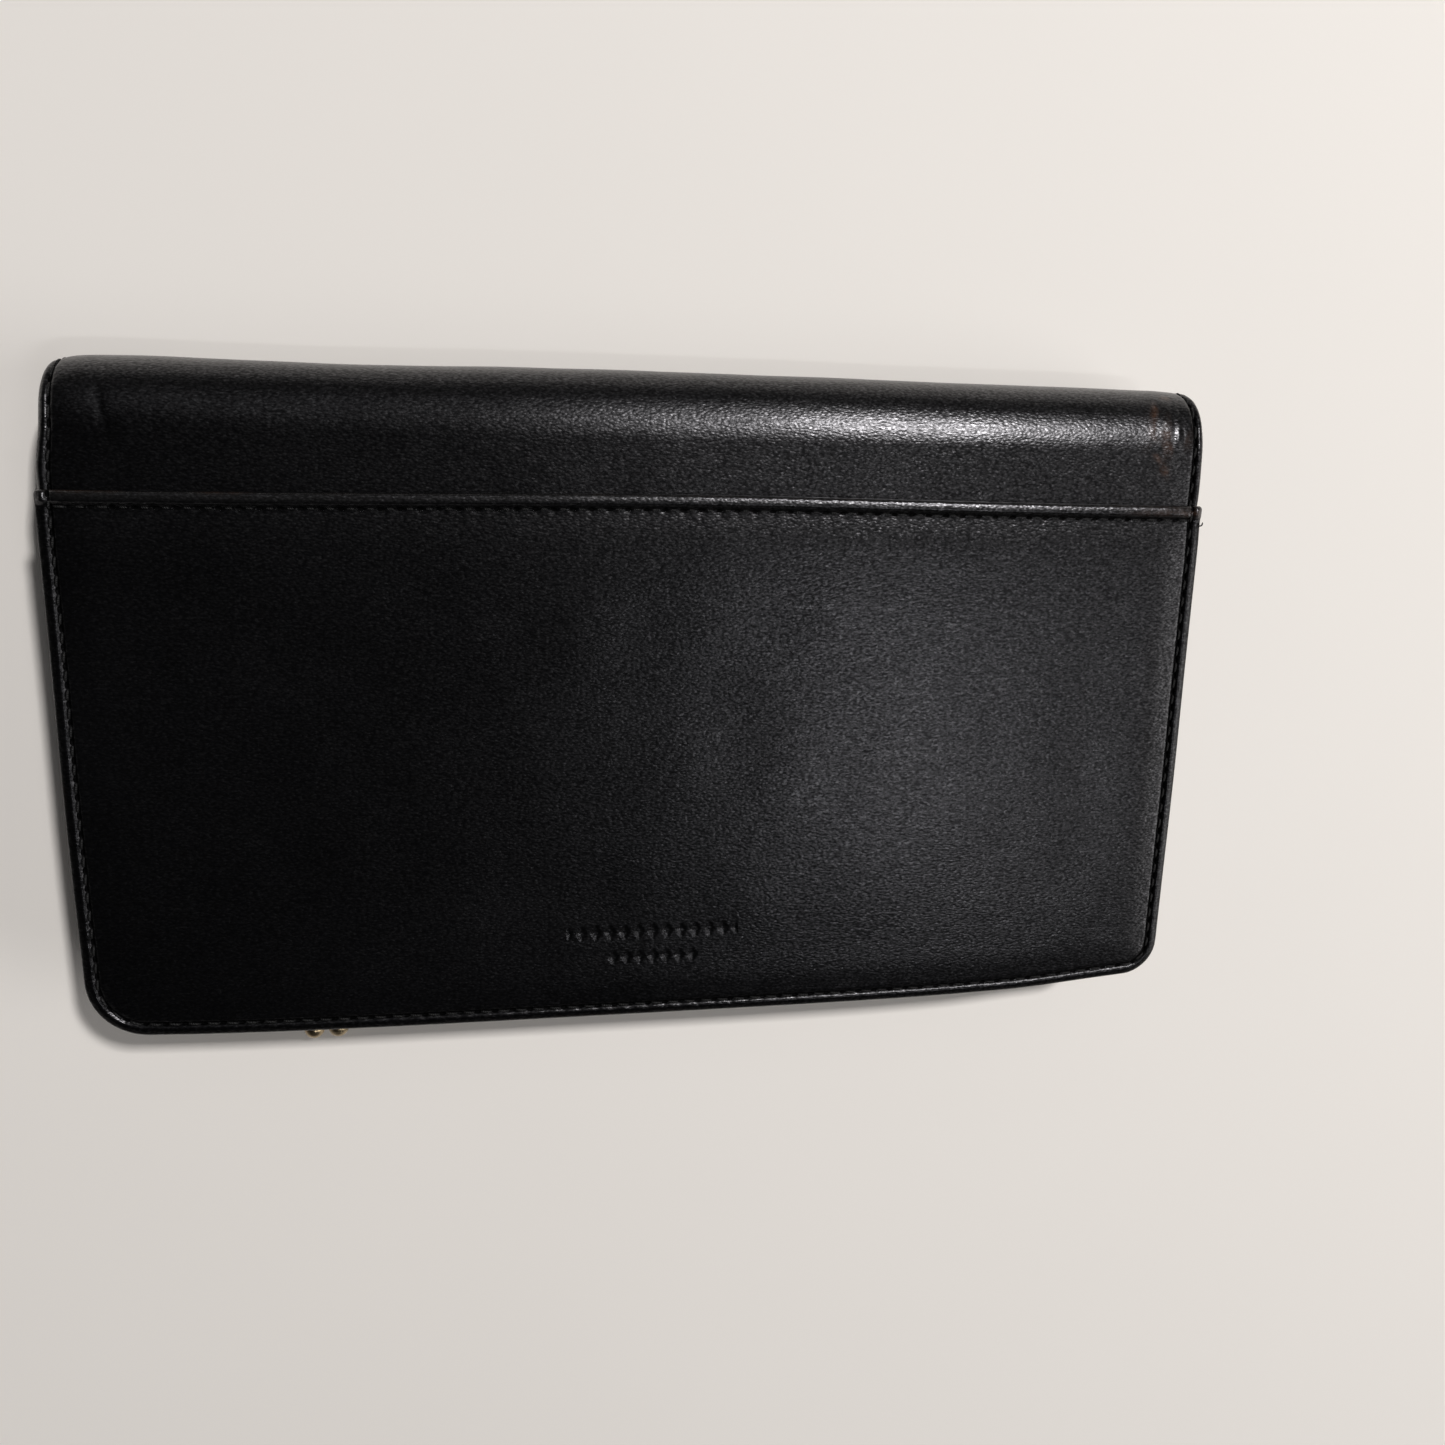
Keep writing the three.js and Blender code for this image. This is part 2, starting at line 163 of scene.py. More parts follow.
class Outline:
    """A rectangle with its own radius at each corner, in the flat leather's own coordinates."""

    def __init__(self, x0, x1, v0, v1, low_left=0.3, low_right=0.3, high_left=0.3, high_right=0.3):
        self.x0, self.x1, self.v0, self.v1 = x0, x1, v0, v1
        self.radii = (low_left, low_right, high_left, high_right)

    def ends(self, v):
        """The outline's left and right x at height v."""
        shrink = []
        for low, high in ((self.radii[0], self.radii[2]), (self.radii[1], self.radii[3])):
            s = np.zeros_like(v)
            for r, depth in ((low, v - self.v0), (high, self.v1 - v)):
                into = np.clip(r - depth, 0, r)
                s = np.maximum(s, r - np.sqrt(np.maximum(r * r - into * into, 0)))
            shrink.append(s)
        return self.x0 + shrink[0], self.x1 - shrink[1]

    def depth(self, x, v):
        """Distance in from the edge."""
        cx, cv = (self.x0 + self.x1) / 2, (self.v0 + self.v1) / 2
        r = np.where(v < cv, np.where(x < cx, self.radii[0], self.radii[1]),
                     np.where(x < cx, self.radii[2], self.radii[3]))
        qx = np.abs(x - cx) - ((self.x1 - self.x0) / 2 - r)
        qv = np.abs(v - cv) - ((self.v1 - self.v0) / 2 - r)
        outside = np.hypot(np.maximum(qx, 0), np.maximum(qv, 0))
        return -(np.minimum(np.maximum(qx, qv), 0) + outside - r)


def grid(outline, v_from, v_to, step, edge, fine_x=(), fine_v=()):
    """Points (x, v) of a grid whose outer lines follow the outline between v_from and v_to."""
    start = v_from <= outline.v0 + 1e-6
    end = v_to >= outline.v1 - 1e-6
    fine_v = [(a - v_from, b - v_from, g) for a, b, g in fine_v]
    vs = v_from + lines(v_to - v_from, step, edge, start, end, fine_v)
    left, right = outline.ends(vs)
    width = outline.x1 - outline.x0
    fine_x = [(a - outline.x0, b - outline.x0, g) for a, b, g in fine_x]
    us = lines(width, step, edge, fine=fine_x)
    x = np.empty((len(vs), len(us)))
    for j in range(len(vs)):
        near_left = left[j] + us
        near_right = right[j] - (width - us)
        t = smooth((us - 12) / (width - 24))
        x[j] = near_left * (1 - t) + near_right * t
    return x, np.repeat(vs[:, None], len(us), axis=1)


def sheet(name, outline, top, bottom, place, material, v_from=None, v_to=None, step=2.5, edge=COARSE_LINES,
          round_r=0.6, fine_x=(), fine_v=(), wear=None, seam=None, flip=False, under_step=6.0, notch=None):
    """A sheet of leather: an upper and a lower skin that meet in a rounded edge.

    top, bottom, the colours of wear and painted light (brown wear, a painted highlight on rubbed edges,
    painted shade in grooves) and seam are given (x, v, depth in from the edge), and place puts (x, v, height)
    in space. notch gives the same three back, with x left out (nan) where the leather is cut away.
    """
    v_from = outline.v0 if v_from is None else v_from
    v_to = outline.v1 if v_to is None else v_to
    verts, quads, colours, seams = [], [], [], []
    count = 0
    for side, gap in ((1, step), (-1, under_step)):
        if side > 0:
            x, v = grid(outline, v_from, v_to, gap, edge, fine_x, fine_v)
        else:
            x, v = grid(outline, v_from, v_to, gap, COARSE_LINES if edge is EDGE_LINES else edge)
        d = outline.depth(x, v)
        if notch is not None:
            x, v, d = notch(x, v, d)
        hi, lo = top(x, v, d), bottom(x, v, d)
        middle, half = (hi + lo) / 2, (hi - lo) / 2
        full = np.sqrt(np.clip(1 - (1 - np.clip(d / round_r, 0, 1)) ** 2, 0, 1))
        h = middle + side * half * full
        verts.append(np.stack(place(x, v, h), -1).reshape(-1, 3))
        colours.append(np.zeros((x.size, 3)) if wear is None else wear(x, v, d).reshape(-1, 3))
        seams.append(np.full((x.size, 3), FAR) if seam is None else
                     np.stack([*seam(x, v, d), 0 * x], -1).reshape(-1, 3))
        n, m = x.shape
        i = (np.arange(n - 1)[:, None] * m + np.arange(m - 1)[None, :]).ravel() + count
        q = np.stack([i, i + 1, i + m + 1, i + m], -1)
        if notch is not None:
            keep = ~np.isnan(verts[-1][:, 0])
            q = q[keep[q - count].all(1)]
        if (side < 0) != flip:
            q = q[:, ::-1]
        quads.append(q)
        count += x.size
    verts, quads = np.concatenate(verts), np.concatenate(quads)
    colours, seams = np.concatenate(colours), np.nan_to_num(np.concatenate(seams))
    used = np.unique(quads)
    new = np.zeros(len(verts), int)
    new[used] = np.arange(len(used))
    ob = make_mesh(name, verts[used], new[quads], wear=colours[used], seam=seams[used])
    ob.data.materials.append(material)
    return ob


def thread(name, stitches, radius=THREAD_R):
    """Stitches, each a short length of thread through the given points."""
    verts, quads = [], []
    ring = 8  # points round the thread
    askew = np.array([0.31, 0.52, 0.79])  # no stitch runs this way
    for points in stitches:
        p = np.asarray(points, float)
        n = len(p)
        along = np.gradient(p, axis=0)
        along /= np.linalg.norm(along, axis=1)[:, None]
        side = np.cross(along, askew)
        side /= np.linalg.norm(side, axis=1)[:, None]
        other = np.cross(along, side)
        a = np.linspace(0, 2 * math.pi, ring, endpoint=False)
        circle = side[:, None] * np.cos(a)[None, :, None] + other[:, None] * np.sin(a)[None, :, None]
        taper = np.sqrt(np.clip(1 - np.abs(np.linspace(-1, 1, n)) ** 6, 0.15, 1))
        body = p[:, None] + circle * (radius * taper)[:, None, None]
        base = sum(len(v) for v in verts)
        verts.append(body.reshape(-1, 3))
        for j in range(n - 1):
            for k in range(ring):
                a0, a1 = j * ring + k, j * ring + (k + 1) % ring
                quads.append([base + a0, base + a1, base + a1 + ring, base + a0 + ring])
        for end, order in ((0, -1), (n - 1, 1)):
            r = base + end * ring
            for k in range(0, ring - 2, 2):
                quads.append([r, r + k + 1, r + k + 2, r + (k + 3) % ring][::order])
    ob = make_mesh(name, np.concatenate(verts), quads)
    ob.data.materials.append(THREAD)
    return ob


# ---- Materials --------------------------------------------------------------------------------------
class Nodes:
    """A material's node tree, with short calls to add and join nodes."""

    def __init__(self, name):
        self.material = bpy.data.materials.new(name)
        self.material.use_nodes = True
        self.tree = self.material.node_tree
        self.shader = self.tree.nodes["Principled BSDF"]

    def feed(self, socket, value):
        if isinstance(value, bpy.types.NodeSocket):
            self.tree.links.new(value, socket)
        else:
            socket.default_value = value

    def new(self, kind, values=(), **settings):
        node = self.tree.nodes.new(kind)
        for key, value in settings.items():
            setattr(node, key, value)
        for key, value in dict(values).items():
            self.feed(node.inputs[key], value)
        return node

    def set(self, **values):
        for key, value in values.items():
            self.feed(self.shader.inputs[key.replace("_", " ")], value)

    def where(self):
        return self.new("ShaderNodeTexCoord").outputs["Object"]

    def noise(self, scale, detail=3.0, roughness=0.55, vector=None):
        return self.new("ShaderNodeTexNoise", {"Vector": vector or self.where(), "Scale": scale,
                                               "Detail": detail, "Roughness": roughness}).outputs["Fac"]

    def cells(self, scale, vector):
        node = self.new("ShaderNodeTexVoronoi", {"Vector": vector, "Scale": scale}, feature="SMOOTH_F1")
        node.inputs["Smoothness"].default_value = 0.35
        return node.outputs["Distance"]

    def math(self, operation, a, b=0.0, clamp=False):
        return self.new("ShaderNodeMath", {0: a, 1: b}, operation=operation, use_clamp=clamp).outputs[0]

    def span(self, value, low, high, to_low=0.0, to_high=1.0):
        return self.new("ShaderNodeMapRange", {"Value": value, "From Min": low, "From Max": high,
                                               "To Min": to_low, "To Max": to_high}).outputs[0]

    def mix(self, factor, a, b):
        a, b = (v if isinstance(v, bpy.types.NodeSocket) else (*v, 1.0) for v in (a, b))
        return self.new("ShaderNodeMix", {"Factor": factor, 6: a, 7: b}, data_type="RGBA").outputs[2]

    def bump(self, height, distance, strength=1.0, normal=None):
        values = {"Height": height, "Distance": distance, "Strength": strength}
        if normal is not None:
            values["Normal"] = normal
        return self.new("ShaderNodeBump", values).outputs["Normal"]

    def mesh_colour(self, name):
        colour = self.new("ShaderNodeAttribute", attribute_name=name, attribute_type="GEOMETRY")
        parts = self.new("ShaderNodeSeparateColor", {"Color": colour.outputs["Color"]})
        return parts.outputs

    def needle_holes(self):
        """1 at the holes half way between stitches, from the mesh's run along the seam and distance."""
        run, away, _ = self.mesh_colour("seam")
        from_hole = self.math("SUBTRACT", self.math("FRACT", run), 0.5)
        along = self.math("MULTIPLY", from_hole, STITCH_PITCH / HOLE_LONG)
        across = self.math("DIVIDE", away, HOLE_WIDE)
        square = self.math("ADD", self.math("POWER", self.math("ABSOLUTE", along), 2.0),
                           self.math("POWER", self.math("ABSOLUTE", across), 2.0))
        return self.span(square, 0.45, 1.15, 1.0, 0.0)


def leather(name, base=(0.0011, 0.0011, 0.0013), rough=0.29, grain=1.0, cell=2750):
    """Smooth black leather: pebble grain, fine wrinkles, handling marks, and where the mesh says brown wear,
    a painted highlight on rubbed edges and folds, and painted shade in grooves.
    """
    n = Nodes(name)
    wear = n.mesh_colour("wear")
    holes = n.needle_holes()
    patches = n.noise(28, 4, 0.6)
    fine = n.noise(2400, 3, 0.6)
    rubbed = n.span(n.noise(95, 6, 0.72), 0.5, 0.78)

    stretched = n.new("ShaderNodeMapping", {"Vector": n.where(), "Scale": (0.55, 1.0, 1.0)}).outputs[0]
    pebble = n.cells(cell, stretched)
    streaks = n.noise(cell * 1.1, 1.5, 0.5, vector=stretched)
    height = n.math("ADD", n.math("MULTIPLY", pebble, -1.0), n.math("MULTIPLY", streaks, 1.1))
    crest = n.span(height, -0.25, 0.45)

    colour = n.mix(n.span(patches, 0.35, 0.7), base, tuple(1.6 * c for c in base))
    specks = n.span(n.noise(1500, 2, 0.5), 0.72, 0.80)
    colour = n.mix(n.math("MULTIPLY", specks, 0.3), colour, (0.02, 0.019, 0.019))
    brown = n.math("MULTIPLY", wear[1], n.span(n.noise(700, 4, 0.7), 0.32, 0.62), clamp=True)
    colour = n.mix(brown, colour, (0.060, 0.030, 0.018))
    # Painted highlight and wear: the first channel lightens the colour on rubbed edges, the pocket rim's
    # crest and a band round the fold.
    edge = n.math("MULTIPLY", wear[0], n.span(fine, 0.25, 0.7, 0.3, 1.0))
    colour = n.mix(edge, colour, (0.006, 0.0058, 0.0058))
    # Painted shade: the third channel and the needle holes turn the colour near black in the stitch grooves,
    # on the rolled edges and in the holes, and dim the shine.
    sunk = n.math("MAXIMUM", wear[2], holes)
    colour = n.mix(sunk, colour, (0.0004, 0.0004, 0.0004))

    roughness = n.span(patches, 0.3, 0.7, rough - 0.01, rough + 0.02)
    roughness = n.math("ADD", roughness, n.math("MULTIPLY", rubbed, 0.03))
    roughness = n.math("ADD", roughness, n.math("MULTIPLY", holes, 0.4), clamp=True)
    normal = n.bump(n.noise(140, 3, 0.5), 0.00006, 0.25)
    normal = n.bump(height, 0.00003 * grain, 0.9, normal)
    normal = n.bump(n.math("MULTIPLY", holes, -1.0), 0.0003, 0.8, normal)
    glint = n.span(n.noise(cell * 0.9, 1.0, 0.5, vector=stretched), 0.56, 0.68)
    shine = n.math("ADD", n.span(crest, 0.0, 1.0, 0.18, 0.58), n.math("MULTIPLY", glint, 0.45))
    shine = n.math("MULTIPLY", shine, n.span(sunk, 0, 1, 1.0, 0.12))
    n.set(Base_Color=colour, Roughness=roughness, Normal=normal, Specular_IOR_Level=shine)
    n.set(Specular_Tint=(0.95, 0.94, 1.0, 1.0))
    return n.material


def fabric(name, base=(0.007, 0.007, 0.0078)):
    """Fine twill lining: two sets of threads crossing at a slant."""
    n = Nodes(name)
    threads = []
    for turn in (0.9, -0.68):
        turned = n.new("ShaderNodeMapping", {"Vector": n.where(), "Rotation": (0, 0, turn)})
        threads.append(n.new("ShaderNodeTexWave", {"Vector": turned.outputs[0], "Scale": 520.0,
                                                   "Distortion": 0.6, "Detail": 1.0}).outputs["Fac"])
    weave = n.math("MULTIPLY", threads[0], n.span(threads[1], 0, 1, 0.45, 1.0))
    fuzz = n.noise(900, 4, 0.7)
    colour = n.mix(n.math("MULTIPLY", weave, n.span(fuzz, 0.2, 0.8, 0.5, 1.0)), base,
                   tuple(2.6 * c for c in base))
    n.set(Base_Color=colour, Roughness=n.span(fuzz, 0.2, 0.8, 0.7, 0.95),
          Normal=n.bump(n.math("ADD", weave, n.math("MULTIPLY", fuzz, 0.4)), 0.00012, 0.7))
    n.set(Specular_IOR_Level=0.35, Sheen_Weight=0.25, Sheen_Roughness=0.5)
    return n.material


def thread_material(name):
    n = Nodes(name)
    strands = n.new("ShaderNodeTexWave", {"Vector": n.where(), "Scale": 1900.0, "Distortion": 1.5},
                    bands_direction="DIAGONAL").outputs["Fac"]
    n.set(Base_Color=n.mix(strands, (0.0018, 0.0018, 0.002), (0.006, 0.006, 0.0067)),
          Roughness=n.span(n.noise(1500, 3), 0.3, 0.7, 0.48, 0.65),
          Normal=n.bump(strands, 0.00006, 0.8))
    n.set(Specular_IOR_Level=0.25)
    return n.material


def metal(name, bright, dark, rough=0.3, age=0.5):
    """Worn plated metal: scratches, and dulled, darker patches."""
    n = Nodes(name)
    patches = n.noise(160, 6, 0.7)
    stretched = n.new("ShaderNodeMapping", {"Vector": n.where(), "Rotation": (0.3, 0.2, 0.5),
                                            "Scale": (1.0, 14.0, 1.0)}).outputs[0]
    scratches = n.span(n.noise(420, 4, 0.8, vector=stretched), 0.52, 0.72)
    colour = n.mix(n.span(patches, 0.5 - 0.25 * age, 0.72, 0, age), bright, dark)
    roughness = n.math("ADD", n.span(patches, 0.3, 0.75, rough - 0.08, rough + 0.22),
                       n.math("MULTIPLY", scratches, 0.15), clamp=True)
    height = n.math("ADD", n.math("MULTIPLY", scratches, -0.6), patches)
    n.set(Base_Color=colour, Roughness=roughness, Normal=n.bump(height, 0.00003, 0.5))
    n.set(Metallic=1.0)
    return n.material


COVER_LEATHER = leather("cover_leather")
INNER_LEATHER = leather("inner_leather", base=(0.0035, 0.0035, 0.004), rough=0.38, grain=0.8, cell=2700)
PAD_LEATHER = leather("pad_leather", base=(0.004, 0.004, 0.0045), rough=0.42, grain=0.9)
LINING = fabric("lining_twill")
THREAD = thread_material("black_thread")
BRASS = metal("aged_brass", (0.50, 0.40, 0.25), (0.17, 0.13, 0.09), 0.27, 0.75)
SNAP_BRASS = metal("snap_brass", (0.60, 0.48, 0.29), (0.30, 0.22, 0.14), 0.24, 0.4)
STEEL = metal("washer_steel", (0.62, 0.62, 0.64), (0.35, 0.34, 0.33), 0.3, 0.4)


# ---- Shapes shared by the leather parts -------------------------------------------------------------
def fold_place(side):
    """Puts leather of the cover in space. v is measured from the fold's middle, and height out of the
    leather. side is 1 over the back half and -1 under the front half.
    """

    def place(x, v, h):
        angle = np.minimum(v, QUARTER) / FOLD_R
        r = FOLD_R + h
        y = FOLD_Y + r * np.cos(angle)
        z = r * np.sin(angle)
        flat = v > QUARTER
        y = np.where(flat, FOLD_Y - (v - QUARTER), y)
        z = np.where(flat, r, z)
        dx, dy = settle(x, y)
        return x + dx, y + dy, FOLD_R + side * z

    return place


def settle(x, y):
    """How far the soft leather has moved in x and y: its sides, free edge, mouth and fold aren't straight."""
    left = -0.65 - 0.6 * bump(y + 14, 32) + 0.7 * smooth((y - 37) / 8)
    right = 0.5 + 0.55 * bump(y + 8, 30) + 0.2 * smooth((y - 33) / 4)
    dx = np.where(x < 0, left, right) * np.clip(np.abs(x) / X_END, 0, 1) ** 4
    free = -2.35 + 1.7 * ((x + 8) / 90) ** 4 + 0.45 * smooth((x - 65) / 20)
    mouth = -0.2 + 0.2 * x / X_END + 0.7 * bump(x - 3, 50)
    apex = 1.15 + 0.45 * bump(x - 5, 45)
    low = smooth((y - Y_FREE) / 60)
    middle = smooth((y - 10) / 24)
    high = smooth((y - 44) / 9)
    near_fold = smooth((y - 37) / 9)
    return dx, free * (1 - low) + mouth * middle * (1 - near_fold) + apex * high


def lift(y):
    """The back half stands a little proud towards the fold."""
    return 1.1 * smooth((y + 6) / 45)


def flat_place(x, v, h):
    dx, dy = settle(x, v)
    return x + dx, v + dy, h


def bend_over_fold(ob):
    """The piece's place is baked into its mesh; it is not tied to the spine or to either half."""
    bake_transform(ob)


def edge_puff(d, height):
    """Leather pulled down at a stitch line, plump inside it and softly rounded outside it."""
    groove = -0.42 * bump(d - STITCH_IN, 0.38)
    plump = height * smooth((d - STITCH_IN) / 5.0)
    roll = -0.35 * (1 - smooth(d / 1.3)) * (d < STITCH_IN)
    return groove + plump + roll


def seam_path(outline, inset, v_start):
    """The stitch line from v_start up the left side, along the v1 edge and back down the right side, as
    lengths along it with their x and v.
    """
    r_l, r_r = (max(outline.radii[k] - inset, 0.4) for k in (2, 3))
    x0, x1, v1 = outline.x0 + inset, outline.x1 - inset, outline.v1 - inset
    turn = np.arange(1, 9) * math.pi / 16
    first = np.stack([x0 + r_l - r_l * np.cos(turn), v1 - r_l + r_l * np.sin(turn)], -1)
    second = np.stack([x1 - r_r + r_r * np.sin(turn), v1 - r_r + r_r * np.cos(turn)], -1)
    path = np.concatenate([[(x0, v_start), (x0, v1 - r_l)], first, [(x1 - r_r, v1)], second, [(x1, v_start)]])
    along = np.concatenate([[0], np.cumsum(np.hypot(*np.diff(path, axis=0).T))])
    s = np.arange(0, along[-1], 0.25)
    return s, np.interp(s, along, path[:, 0]), np.interp(s, along, path[:, 1])


def seam_run(x, v, d, path):
    """Stitches along the seam to the point nearest to (x, v), whole at the middle of a stitch, and the
    distance to the seam. Both are FAR away from it.
    """
    run, away = np.full(x.size, FAR), np.full(x.size, FAR)
    s, px, pv = path
    near = np.flatnonzero((np.abs(d - STITCH_IN) < 2.4).ravel() & ~np.isnan(x.ravel()))
    for part in np.array_split(near, max(1, len(near) // 2000)):
        qx, qv = x.ravel()[part, None] - px, v.ravel()[part, None] - pv
        gap = qx * qx + qv * qv
        k = gap.argmin(1)
        row = np.arange(len(part))
        slope_x, slope_v = np.gradient(px)[k], np.gradient(pv)[k]
        beyond = (qx[row, k] * slope_x + qv[row, k] * slope_v) / np.maximum(np.hypot(slope_x, slope_v), 1e-6)
        run[part] = (s[k] + beyond - FIRST_STITCH * STITCH_PITCH) / STITCH_PITCH
        away[part] = np.sqrt(np.maximum(gap[row, k] - beyond ** 2, 0))
    return run.reshape(x.shape), away.reshape(x.shape)


def scallops(run, away):
    """Leather drawn in at the needle holes."""
    pull = (0.5 - 0.5 * np.cos(2 * math.pi * run)) ** 2
    return -0.12 * pull * bump(away, 0.75)


# ---- Back pocket ------------------------------------------------------------------------------------
RIM = 2.5  # from the pocket's mouth to its stitch line
RIM_START = -X_END + 3.4
pocket_outline = Outline(-X_END, X_END, Y_FREE, MOUTH_Y, 9.0, 6.0, 0.8, 0.8)


def lozenge_marks(x, y):
    """Two rows of small pressed lozenges, above the free edge."""
    from_middle = x + 1.5
    half_wide = 0.98
    depth = 0.0
    for row_y, half_row, half_tall, pitch in ((Y_FREE + 15.6, 15.1, 1.5, 2.516),
                                              (Y_FREE + 11.1, 8.2, 1.35, 2.342)):
        k = np.round(from_middle / pitch)
        inside = np.abs(from_middle) < half_row
        u = np.abs(from_middle - k * pitch) / half_wide + np.abs(y - row_y) / half_tall
        depth = depth + inside * smooth((1.0 - u) / 0.35)
    return -0.2 * depth


POCKET_PATH = seam_path(Outline(-X_END, X_END, -MOUTH_Y, -Y_FREE, 0.8, 0.8, 9.0, 6.0), STITCH_IN,
                        -MOUTH_Y + 0.2)


def pocket_seam(x, v, d):
    """The nearer of the edge seam and the seam under the rim."""
    run, away = seam_run(x, -v, d, POCKET_PATH)
    from_mouth = MOUTH_Y - v
    rim_run = (x - RIM_START) / STITCH_PITCH
    rim_away = np.abs(from_mouth - RIM)
    use = (rim_away < np.minimum(away, 2)) & (np.abs(x) < X_END - 3)
    return np.where(use, rim_run, run), np.where(use, rim_away, away)


def pocket_top(x, v, d):
    from_mouth = MOUTH_Y - v
    by_mouth = v > MOUTH_Y - 12
    sides = np.minimum(x + X_END, X_END - x)
    d_seam = np.minimum(sides, np.where(by_mouth, FAR, d))  # the mouth isn't sewn shut
    h = TOP - 0.15 + lift(v) + edge_puff(d_seam, 0.32)
    h = h + scallops(*pocket_seam(x, v, d))
    roll = 0.5 - 0.14 * np.clip(1.5 - from_mouth, 0, 2) ** 2 - 0.5 * smooth((from_mouth - 1.5) / 0.9)
    past_seam = from_mouth > RIM
    sunk = np.where(past_seam, 0.30 * bump(from_mouth - RIM, 3.0), 0.30 * bump(from_mouth - RIM, 0.4))
    h = h + roll * smooth(d_seam / 1.5) - sunk
    inside = smooth((d_seam - 6) / 14) * smooth((from_mouth - 5) / 14)
    h = h + inside * (0.10 * waves(x, v, 26, 3) + 0.035 * waves(x, v, 9, 4))
    across = (x - 2.0) * 0.87 - (v + 9.5) * 0.49
    along = (x - 2.0) * 0.49 + (v + 9.5) * 0.87
    h = h - 0.03 * bump(across, 0.35) * bump(along, 5.5)  # a short crease near the middle
    return h + lozenge_marks(x, v)


def pocket_bottom(x, v, d):
    from_mouth = MOUTH_Y - v
    return POCKET[2] + lift(v) + 0.1 * smooth((4 - from_mouth) / 4) + 0 * x


def pocket_wear(x, v, d):
    from_mouth = MOUTH_Y - v
    # First channel: lighter on the rim's crest and the edges, partly real rubbing and partly a painted
    # highlight.
    rim = bump(from_mouth - 0.8, 0.75)
    sheen_and_rubbing = rim * 0.75 + 0.35 * bump(d, 0.7)
    brown = bump(from_mouth - 1.0, 0.7) * smooth((x - 76) / 16) * 0.8
    brown = brown + 0.35 * bump(d, 0.4) * smooth((waves(x, v, 7, 21) - 0.5) / 0.8)
    # Third channel: painted shade in the stitch grooves and on the rolled edges outside the stitches.
    dark = 0.5 * bump(from_mouth - RIM, 0.4) + 0.6 * bump(d - STITCH_IN, 0.5) * (from_mouth > 3)
    dark = dark + 0.5 * (1 - smooth((d - 0.6) / 1.2)) * (from_mouth > 3)
    return np.clip(np.stack([sheen_and_rubbing, brown, dark], -1), 0, 1)


def build_pocket():
    ob = sheet("back_pocket_leather", pocket_outline, pocket_top, pocket_bottom, flat_place, COVER_LEATHER,
               step=0.62, edge=EDGE_LINES, round_r=0.45, wear=pocket_wear, seam=pocket_seam,
               fine_x=[(-19, 16, 0.24)], fine_v=[(Y_FREE + 8.5, Y_FREE + 18.5, 0.24)])
    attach(ob, "back_half")
    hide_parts("back_pocket")


# ---- Cover ------------------------------------------------------------------------------------------
COVER_THICK = 2.6  # at its turned edge
COVER_V_END = QUARTER + (FOLD_Y - Y_FREE) - 0.3
COVER_LEFT, COVER_RIGHT = -X_END - 0.2, X_END + 0.2
cover_outline = Outline(COVER_LEFT, COVER_RIGHT, -60, COVER_V_END, 0.3, 0.3, 8.7, 5.7)
SEAM_LINES = ((0, 2.4, 0.15),)  # fine grid lines where the two skins of the cover meet
COVER_PATH = seam_path(cover_outline, STITCH_IN, 0.0)


def cover_seam(x, v, d):
    return seam_run(x, v, d, COVER_PATH)


def fold_end_drop(x):
    """The fold's ends are pinched in a little, the left end more."""
    left = np.clip((COVER_LEFT + 6 - x) / 6, 0, 1)
    right = np.clip((x - COVER_RIGHT + 3) / 3, 0, 1)
    return -1.3 * left ** 3 - 0.5 * right ** 3


def swell(v, side):
    """The folded leather springs out on the back half, and stays low where the wallet lies on it."""
    if side > 0:
        return smooth(v / 11) * lift(FOLD_Y - np.maximum(v - QUARTER, 0))
    return 0.7 * bump(v - 7.5, 4.0) * smooth(v / 4)


def cover_top(x, v, d, side=1):
    in_fold = 1 - smooth((v - QUARTER + 3) / 9)
    h = edge_puff(d, 0.22) + scallops(*cover_seam(x, v, d)) + swell(v, side)
    h = h + fold_end_drop(x) * in_fold
    soft = smooth((d - 3) / 12)
    h = h + soft * (0.12 * waves(x, v, 30, 7) + 0.04 * waves(x, v, 10, 8)) * (v < QUARTER + 12)

    # The scuffed corner is crumpled in rings about a point at the fold's right end.
    away = np.hypot(x - X_END, (v - QUARTER + 4) * 0.8)
    zone = bump(away - 6.5, 2.6) * bump(v - QUARTER + 3, 4.0)
    folds = np.cos(2 * math.pi * (away + 0.9 * waves(x, v, 3.4, 12)) / 2.3)
    h = h - 0.07 * zone * folds - 0.12 * zone * np.clip(waves(x * 1.6, v, 2.6, 11), -1, 1)
    left_crease = bump((x + 85) - 0.25 * (v - QUARTER), 0.8) * bump(v - QUARTER + 4, 6)
    h = h - 0.14 * left_crease
    return h if side > 0 else np.where(v > QUARTER - 2, np.minimum(h, 0.0), h)


def cover_bottom(x, v, d, side=1):
    in_fold = 1 - smooth((v - QUARTER + 3) / 9)
    return -COVER_THICK + 0.9 * fold_end_drop(x) * in_fold + swell(v, side) * (1 - smooth((v - QUARTER) / 9))


